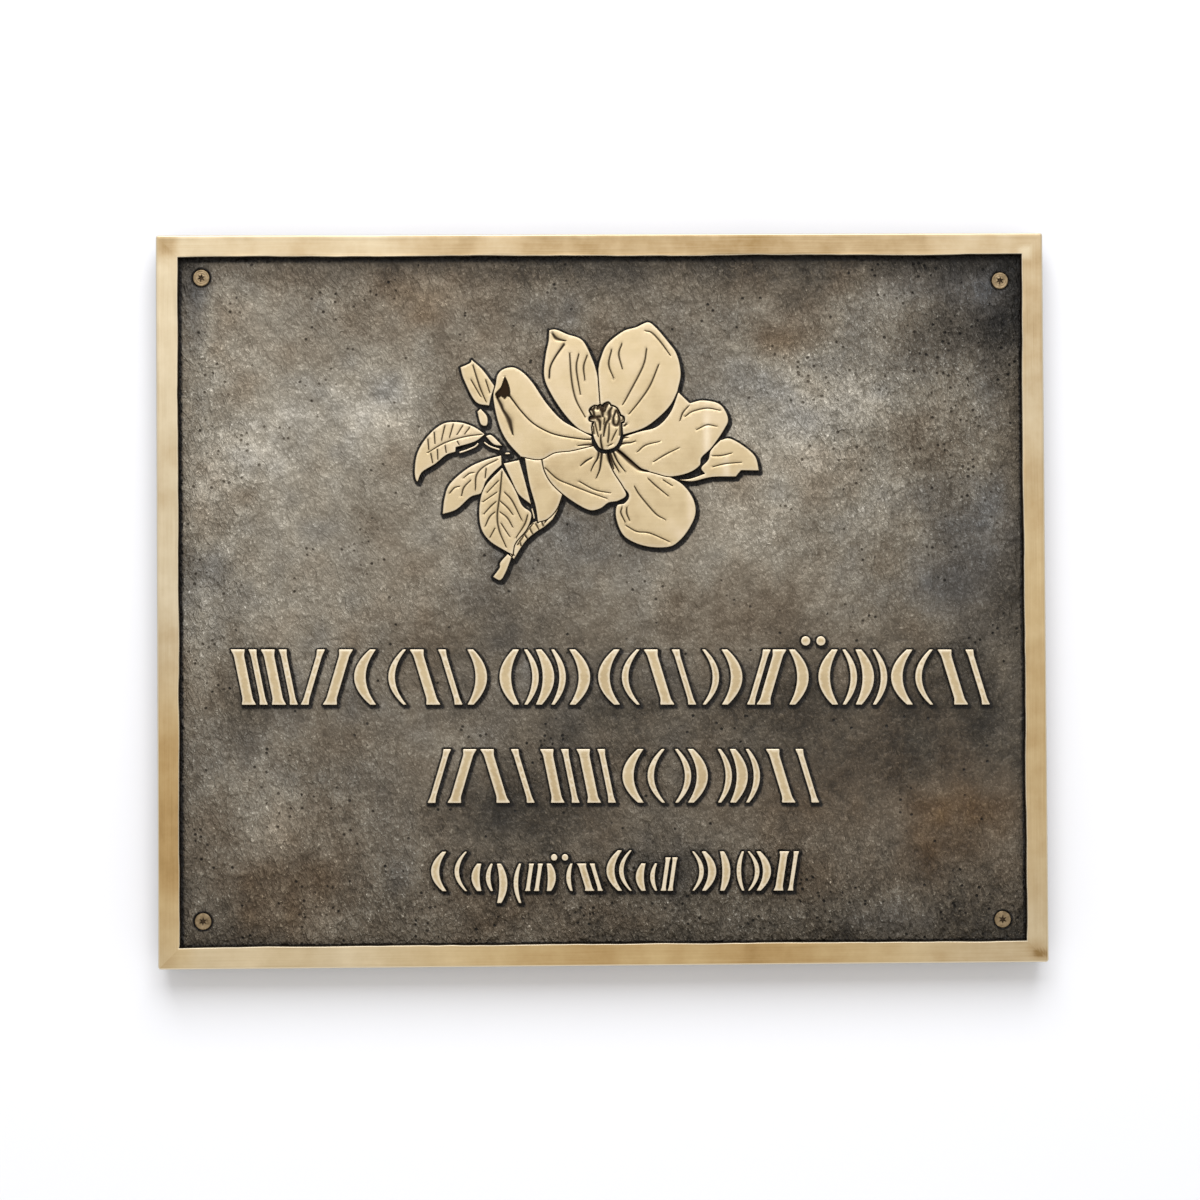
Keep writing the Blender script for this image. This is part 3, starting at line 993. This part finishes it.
def build_back(edge, places, material):
    """The flat back, with the bores and countersinks of the screw holes."""
    bores = [circle(x, z, BORE_RADIUS, HOLE_STEPS) for x, z in places]
    spread = honeycomb(edge.min(0), edge.max(0), 5, 60)
    spread = spread[(abs(spread[:, 0]) < WIDTH / 2 - 2) & (abs(spread[:, 1]) < HEIGHT / 2 - 2)]
    for x, z in places:
        spread = spread[np.hypot(spread[:, 0] - x, spread[:, 1] - z) > BORE_RADIUS + 1]
    points, tris = triangles([edge] + bores, spread)
    verts = [(x, 0, z) for x, z in points]
    faces = [tuple(reversed(tri)) for tri in tris]
    neck = FIELD + SINK_RADIUS - BORE_RADIUS
    for x, z in places:
        mouth = circle(x, z, SINK_RADIUS, HOLE_STEPS)
        bore = circle(x, z, BORE_RADIUS, HOLE_STEPS)
        start = len(verts)
        verts += [(p[0], y, p[1]) for p, y in zip(mouth, field_y(mouth))]
        verts += [(p[0], neck, p[1]) for p in bore]
        verts += [(p[0], 0, p[1]) for p in bore]
        for a in (start, start + HOLE_STEPS):
            faces += band(a, a + HOLE_STEPS, HOLE_STEPS)
    x, z = np.array(verts)[:, 0], np.array(verts)[:, 2]
    marks = {"soot": [0.0 if v[1] == 0 else 0.9 for v in verts], "tone": 0.4 + 0.1 * lumps(x, z, 20, 81),
             "brown": 0.2 + 0.15 * lumps(x, z, 26, 82), "rough": np.full(len(verts), 0.45),
             "pitted": np.zeros(len(verts))}
    return make_piece("back", verts, faces, material, ["plaque"], marks)


def screw_head(turn):
    """The head's face, with rings left by the tool and a star recess, about its own axis."""
    lobes = np.arange(2 * RECESS_LOBES)
    angle = math.radians(turn) + np.pi * lobes / RECESS_LOBES
    reach = RECESS_RADIUS * np.where(lobes % 2 == 0, 1, RECESS_WAIST)
    star = even(np.stack([reach * np.cos(angle), reach * np.sin(angle)], 1), 0.3)
    floor = moved_out(star, -0.08)
    rim = circle(0, 0, HEAD_RADIUS - HEAD_CHAMFER, HEAD_STEPS)
    spread = np.concatenate([circle(0, 0, r, 40) for r in np.arange(0.9, HEAD_RADIUS - 0.2, SCREW_STEP)])
    spread = spread[~inside(spread, moved_out(star, 0.12))]
    points, tris = triangles([rim, star], spread)
    rings = 0.02 * np.cos(np.hypot(points[:, 0], points[:, 1]) * math.tau / RING_PITCH)
    verts = [(p[0], FIELD + ring, p[1]) for p, ring in zip(points, rings)]
    faces = [tuple(tri) for tri in tris]
    soot = [0.6 * float(v) for v in np.exp(-(distance(points, star, True) / 0.15) ** 2)]
    floor_points, floor_tris = triangles([floor])
    faces += [tuple(i + len(verts) for i in tri) for tri in floor_tris]
    verts += [(p[0], FIELD + RECESS_DEPTH, p[1]) for p in floor_points]
    faces += band(len(verts) + len(star), len(verts), len(star))
    verts += [(p[0], FIELD + 0.02, p[1]) for p in star]
    verts += [(p[0], FIELD + RECESS_DEPTH, p[1]) for p in floor]
    return verts, faces, soot + [0.85] * (len(verts) - len(points))


def screw_shank():
    """The countersink, the threaded shank and its point, about their own axis."""
    rows = [(HEAD_RADIUS - HEAD_CHAMFER, 0), (HEAD_RADIUS, 0.12), (SHANK_RADIUS, 1.45)]
    rows += [(SHANK_RADIUS, down) for down in np.arange(1.8, SCREW_LENGTH, SCREW_STEP)]
    verts, faces, soot = [], [], []
    for radius, down in rows:
        for i in range(HEAD_STEPS):
            phase = (down / THREAD_PITCH - i / HEAD_STEPS) % 1
            cut = ease(0, 0.5, abs(phase - 0.5) * 2 - 0.25) * ease(THREAD_START, THREAD_START + 2, down)
            here = radius - (SHANK_RADIUS - THREAD_ROOT) * float(cut)
            here *= float(np.clip((SCREW_LENGTH - down) / POINT_LENGTH, 0.03, 1))
            a = math.tau * i / HEAD_STEPS
            verts.append((here * math.cos(a), FIELD + down, here * math.sin(a)))
            soot.append(0.0 if down < 0.1 else 0.5)
    for row in range(len(rows) - 1):
        faces += band((row + 1) * HEAD_STEPS, row * HEAD_STEPS, HEAD_STEPS)
    tip = len(verts)
    verts.append((0, FIELD + SCREW_LENGTH - 0.02, 0))
    faces += [(tip, tip - HEAD_STEPS + (i + 1) % HEAD_STEPS, tip - HEAD_STEPS + i) for i in range(HEAD_STEPS)]
    return verts, faces, soot + [0.5]


def build_screw(corner, place, turn, material):
    """A countersunk screw with a star recess in its head and a thread on its shank."""
    verts, faces, soot = screw_head(turn)
    shank, shank_faces, shank_soot = screw_shank()
    faces += [tuple(i + len(verts) for i in face) for face in shank_faces]
    verts = [(v[0] + place[0], v[1], v[2] + place[1]) for v in verts + shank]
    marks = {"soot": soot + shank_soot}
    name = "screw_" + corner
    return make_piece("bronze_" + name, verts, faces, material, [name], marks)


def linear(code):
    """A hex sRGB colour as the linear values that shaders take."""
    parts = [int(code[i:i + 2], 16) / 255 for i in (0, 2, 4)]
    return (*[c / 12.92 if c < 0.04045 else ((c + 0.055) / 1.055) ** 2.4 for c in parts], 1)


def add(tree, kind, out=0, inputs=None, stops=(), **settings):
    """Adds a node with its settings, inputs (values or links) and a ramp's stops, and gives its output."""
    made = tree.nodes.new("ShaderNode" + kind)
    for name, value in settings.items():
        setattr(made, name, value)
    for i, (place, colour) in enumerate(stops):
        stop = made.color_ramp.elements[i] if i < 2 else made.color_ramp.elements.new(place)
        stop.position = place
        stop.color = linear(colour)
    for key, value in (inputs or {}).items():
        if isinstance(value, bpy.types.NodeSocket):
            tree.links.new(value, made.inputs[key])
        else:
            made.inputs[key].default_value = value
    return made.outputs[out]


def per(size):
    """A pattern's scale for features about size mm across."""
    return 1 / (size * MM)


# Where a Mix node keeps its two colours and their mixture
ONE, OTHER, MIXED = 6, 7, 2


def start_material(name):
    """A new material, its node tree, its shader and where a point lies on its piece."""
    material = bpy.data.materials.new(name)
    material.use_nodes = True
    tree = material.node_tree
    return material, tree, tree.nodes["Principled BSDF"], add(tree, "TexCoord", "Object")


def painted(tree, mark):
    return add(tree, "Attribute", "Fac", attribute_name=mark)


def noise(tree, place, scale, detail, roughness, distortion=0):
    return add(tree, "TexNoise", 0, {"Vector": place, "Scale": scale, "Detail": detail,
                                     "Roughness": roughness, "Distortion": distortion})


def calculated(tree, operation, one, other=0, clamped=False):
    return add(tree, "Math", 0, {0: one, 1: other}, operation=operation, use_clamp=clamped)


def weighted(tree, total, parts):
    """The total plus each part times its weight."""
    for part, weight in parts:
        total = add(tree, "Math", 0, {0: part, 1: weight, 2: total}, operation="MULTIPLY_ADD")
    return total


def spanned(tree, value, low, high, out_low=0, out_high=1):
    """The value moved from its own span to another, and held inside that."""
    return add(tree, "MapRange", 0, {"Value": value, "From Min": low, "From Max": high,
                                     "To Min": out_low, "To Max": out_high})


def mixed(tree, share, one, other, blend="MIX"):
    """One colour with a share of another, a hex code."""
    return add(tree, "Mix", MIXED, {0: share, ONE: one, OTHER: linear(other)},
               data_type="RGBA", blend_type=blend)


def finish_material(tree, shader, colour, metallic, height, strength, deep):
    """Gives the shader its colour, how metallic it is, and bumps that are so many mm deep."""
    tree.links.new(colour, shader.inputs["Base Color"])
    shader.inputs["Metallic"].default_value = metallic
    bump = add(tree, "Bump", 0, {"Height": height, "Strength": strength, "Distance": deep * MM})
    tree.links.new(bump, shader.inputs["Normal"])


def patinated_cast_bronze():
    """Bronze left as it came from the sand mould, under dark patina: rough, pitted, grey and brown, dull."""
    material, tree, shader, place = start_material("patinated_cast_bronze")
    marks = ("tone", "brown", "soot", "rough", "pitted")
    tone, brown, soot, rough, pitted = [painted(tree, mark) for mark in marks]
    # Clouds in the patina 7 mm across, and sand grain of 0.4 mm drawn at 1 mm so that it shows
    cloud = noise(tree, place, per(7), 2, 0.6)
    grain = noise(tree, place, per(1.0), 2, 0.6, 0.6)
    # Dents of the rammed sand, about 3.5 mm across
    dent = noise(tree, place, per(3.5), 1, 0.5, 0.5)
    # Short curved drags in the sand, about 1.3 mm wide and 3 mm long, and the thin ridges between them
    leaning = add(tree, "Mapping", 0, {"Vector": place, "Rotation": (0, -0.4, 0),
                                       "Scale": (1.3 * MM, 1.3 * MM, 3.0 * MM)}, vector_type="TEXTURE")
    drag = noise(tree, leaning, 1, 1, 0.5, 1.2)
    off = calculated(tree, "ABSOLUTE", calculated(tree, "SUBTRACT", drag, 0.55))
    ridge = calculated(tree, "MULTIPLY", spanned(tree, off, 0, 0.06, 1, 0), rough)
    ridge = calculated(tree, "MULTIPLY", ridge, spanned(tree, grain, 0.48, 0.58))
    # Gas pits of 0.5 mm, at most one in each cell of 2 mm, in clusters about 14 mm across
    cell = add(tree, "TexVoronoi", "Distance", {"Vector": place, "Scale": per(2.0), "Randomness": 1})
    chance = add(tree, "SeparateColor", 0, {0: cell.node.outputs["Color"]})
    cluster = weighted(tree, noise(tree, place, per(14), 1, 0.5), ((rough, 0.2), (pitted, 0.25)))
    crowd = spanned(tree, cluster, 0.62, 0.84, 0.015, 0.6)
    chance = calculated(tree, "LESS_THAN", chance, crowd)
    pit = calculated(tree, "MULTIPLY", spanned(tree, cell, 0.12, 0.30, 1, 0), chance)
    sand = weighted(tree, -0.49, ((dent, 0.30), (grain, 0.44), (drag, 0.24)))
    coarse = spanned(tree, rough, 0.3, 0.9, 0.50, 1.0)
    shade = weighted(tree, tone, ((cloud, 0.16), (sand, coarse), (ridge, 0.50), (pit, -0.40)))
    shade = calculated(tree, "SUBTRACT", shade, 0.145, True)
    patina = add(tree, "ValToRGB", "Color", {"Fac": shade},
                 [(0.0, "13100C"), (1.0, "CFC8BA"), (0.2, "3A342B"), (0.45, "685F52"), (0.7, "918A7D")])
    browner = calculated(tree, "MULTIPLY", brown, 1, True)
    bluer = calculated(tree, "MULTIPLY", brown, -1, True)
    stained = mixed(tree, browner, patina, "B9945F", "MULTIPLY")
    stained = mixed(tree, bluer, stained, "8FA0C0", "MULTIPLY")
    # Soot keeps to the hollows of the grain, so its edge is ragged
    ragged = weighted(tree, soot, ((grain, 0.9),))
    blackened = mixed(tree, spanned(tree, ragged, 0.72, 1.15), stained, "120E0B")
    tree.links.new(spanned(tree, grain, 0, 1, 0.7, 0.4), shader.inputs["Roughness"])
    height = weighted(tree, 0, ((drag, 1.2), (dent, 1.7), (grain, 0.5), (ridge, 0.3), (pit, -0.5)))
    height = calculated(tree, "MULTIPLY", height, rough)
    finish_material(tree, shader, blackened, 0.5, height, 1, 1.6)
    return material


def belt_sanded_bronze(name, stops, mitred, edge, lined):
    """Bronze sanded bright with a fine belt: grit leaves lines along each rail, and patina stays low down."""
    material, tree, shader, place = start_material(name)
    tone, brown, soot, rim = [painted(tree, mark) for mark in ("tone", "brown", "soot", "rim")]
    # Lines of a 240 grit belt are 0.06 mm wide and drawn at 0.5 mm so that they show, about 30 mm long
    lines = add(tree, "Mapping", 0, {"Vector": place, "Scale": (per(30), per(0.5), per(0.5))})
    if mitred:
        upright = add(tree, "Mapping", 0, {"Vector": place, "Scale": (per(0.5), per(0.5), per(30))})
        x = add(tree, "SeparateXYZ", "X", {0: place})
        side = calculated(tree, "ABSOLUTE", x)
        top = calculated(tree, "ABSOLUTE", x.node.outputs["Z"])
        gap = calculated(tree, "SUBTRACT", side, top)
        on_side = calculated(tree, "GREATER_THAN", gap, (WIDTH - HEIGHT) / 2 * MM)
        lines = add(tree, "Mix", 1, {0: on_side, 4: lines, 5: upright}, data_type="VECTOR")
    scratch = noise(tree, lines, 1, 3, 0.6)
    cloud = noise(tree, place, per(7), 4, 0.6)
    shade = weighted(tree, tone, ((scratch, 0.30 * lined), (cloud, 0.36)))
    shade = calculated(tree, "SUBTRACT", shade, 0.27 + 0.10 * lined, True)
    metal = add(tree, "ValToRGB", "Color", {"Fac": shade}, stops)
    metal = mixed(tree, brown, metal, "FBEDCE", "MULTIPLY")
    blackened = mixed(tree, soot, mixed(tree, rim, metal, edge), "2A1D10")
    tree.links.new(spanned(tree, scratch, 0, 1, 0.4, 0.58), shader.inputs["Roughness"])
    finish_material(tree, shader, blackened, 0.9, scratch, lined, 0.015)
    return material


def turned_bronze():
    """Screws turned from bronze rod: fine rings from the tool on the head, browner than the plaque."""
    material, tree, shader, place = start_material("turned_screw_bronze")
    cloud = noise(tree, place, per(1.4), 3, 0.6)
    metal = add(tree, "ValToRGB", "Color", {"Fac": cloud},
                [(0.25, "685943"), (0.75, "AE9A7C"), (0.5, "8D7A5E")])
    blackened = mixed(tree, painted(tree, "soot"), metal, "2A1A0E")
    shader.inputs["Roughness"].default_value = 0.42
    finish_material(tree, shader, blackened, 0.9, cloud, 1, 0.04)
    return material


# The studio: how far the backdrop is behind and the floor below, in mm, and in metres how far they reach and
# where the key light is and how wide. Then how strong it is, in watts, and the pale room.
BACKDROP_GAP = 6.0
FLOOR_DROP = 350.0
STAGE_REACH = 3.0
KEY_PLACE = (-0.02, -1.17, 1.07)
KEY_WIDTH = 1.15
KEY_POWER = 22
ROOM_STRENGTH = 0.6


def stage_sheet(name, corners, colour):
    """A plain painted sheet of the studio, in metres."""
    material = bpy.data.materials.new(name + "_paint")
    material.use_nodes = True
    material.node_tree.nodes["Principled BSDF"].inputs["Base Color"].default_value = linear(colour)
    material.node_tree.nodes["Principled BSDF"].inputs["Roughness"].default_value = 0.95
    mesh = bpy.data.meshes.new(name)
    mesh.from_pydata(corners, [], [(0, 1, 2, 3)])
    mesh.materials.append(material)
    sheet = bpy.data.objects.new(name, mesh)
    bpy.context.scene.collection.objects.link(sheet)
    return sheet


def build_stage():
    """A pale floor, and a white backdrop that shows from the front alone and catches the plaque's shadow."""
    low = -FLOOR_DROP * MM
    r = STAGE_REACH
    stage_sheet("floor", [(-r, -r, low), (r, -r, low), (r, r, low), (-r, r, low)], "E4E2DE")
    y = BACKDROP_GAP * MM
    backdrop = stage_sheet("backdrop", [(-r, y, low), (r, y, low), (r, y, r), (-r, y, r)], "EEF0F6")
    tree = backdrop.data.materials[0].node_tree
    out = tree.nodes["Material Output"]
    behind = add(tree, "NewGeometry", "Backfacing")
    clear = add(tree, "BsdfTransparent", 0)
    one_sided = add(tree, "MixShader", 0, {0: behind, 1: tree.nodes["Principled BSDF"].outputs[0], 2: clear})
    tree.links.new(one_sided, out.inputs["Surface"])
    backdrop.visible_shadow = False
    backdrop.visible_diffuse = False
    backdrop.visible_glossy = False


def light_studio():
    """A large soft light high in front, a little to the left, and a pale room."""
    lamp = bpy.data.lights.new("key_light", "AREA")
    lamp.size = KEY_WIDTH
    lamp.energy = KEY_POWER
    light = bpy.data.objects.new("key_light", lamp)
    bpy.context.scene.collection.objects.link(light)
    light.location = KEY_PLACE
    light.rotation_mode = "QUATERNION"
    light.rotation_quaternion = (-Vector(KEY_PLACE)).to_track_quat("-Z", "Y")
    light.visible_camera = False
    world = bpy.data.worlds.new("pale_room")
    world.use_nodes = True
    world.node_tree.nodes["Background"].inputs["Color"].default_value = linear("FFFDFA")
    world.node_tree.nodes["Background"].inputs["Strength"].default_value = ROOM_STRENGTH
    bpy.context.scene.world = world
    bpy.context.scene.view_settings.view_transform = "Standard"


# The camera stands about a metre in front, a little left and low, and is turned to look up and to the right:
# its place in metres, its lens in mm and its angles in degrees
CAMERA_PLACE = (-0.0251, -1.0238, -0.0190)
CAMERA_LENS = 90.3
CAMERA_TURN = 1.363
CAMERA_TILT = 1.056
CAMERA_ROLL = -0.355


def set_camera():
    camera = bpy.data.objects.new("camera", bpy.data.cameras.new("camera"))
    bpy.context.scene.collection.objects.link(camera)
    camera.data.lens = CAMERA_LENS
    camera.data.sensor_width = 36
    camera.data.clip_start = 0.01
    camera.location = CAMERA_PLACE
    look = Euler((math.radians(90 + CAMERA_TILT), 0, math.radians(-CAMERA_TURN))).to_matrix()
    roll = Euler((0, 0, math.radians(CAMERA_ROLL))).to_matrix()
    camera.rotation_mode = "QUATERNION"
    camera.rotation_quaternion = (look @ roll).to_quaternion()
    bpy.context.scene.camera = camera


cast = patinated_cast_bronze()
rail = belt_sanded_bronze("belt_sanded_bronze", [(0.0, "94794F"), (1.0, "EEE7D8"), (0.25, "B8A27F"),
                                                 (0.5, "CBBB9D"), (0.8, "DFD2B8")], True, "E6DAC2", 1)
face = belt_sanded_bronze("pad_sanded_bronze", [(0.0, "A58D68"), (1.0, "F0E6D2"), (0.3, "C9B692"),
                                                (0.5, "D6C4A6"), (0.75, "E0D1B6")], False, "ECE0CA", 0.25)
turned = turned_bronze()
places = []
for corner in SCREW_TURNS:
    low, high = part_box("screw_" + corner)
    places.append(((low.x + high.x) / 2 / MM, (low.z + high.z) / 2 / MM))
lines = border_lines()
field_edge = lines[-1][:, [0, 2]]
back_edge = lines[0][:, [0, 2]]
spray = spray_shapes()
strokes = stroke_shapes()
build_field(field_edge, spray + strokes, places, cast)
build_border(lines, rail)
build_back(back_edge, places, cast)
build_relief("magnolia", spray, face)
build_relief("strokes", strokes, face)
for (corner, turn), place in zip(SCREW_TURNS.items(), places):
    build_screw(corner, place, turn, turned)
build_stage()
light_studio()
set_camera()
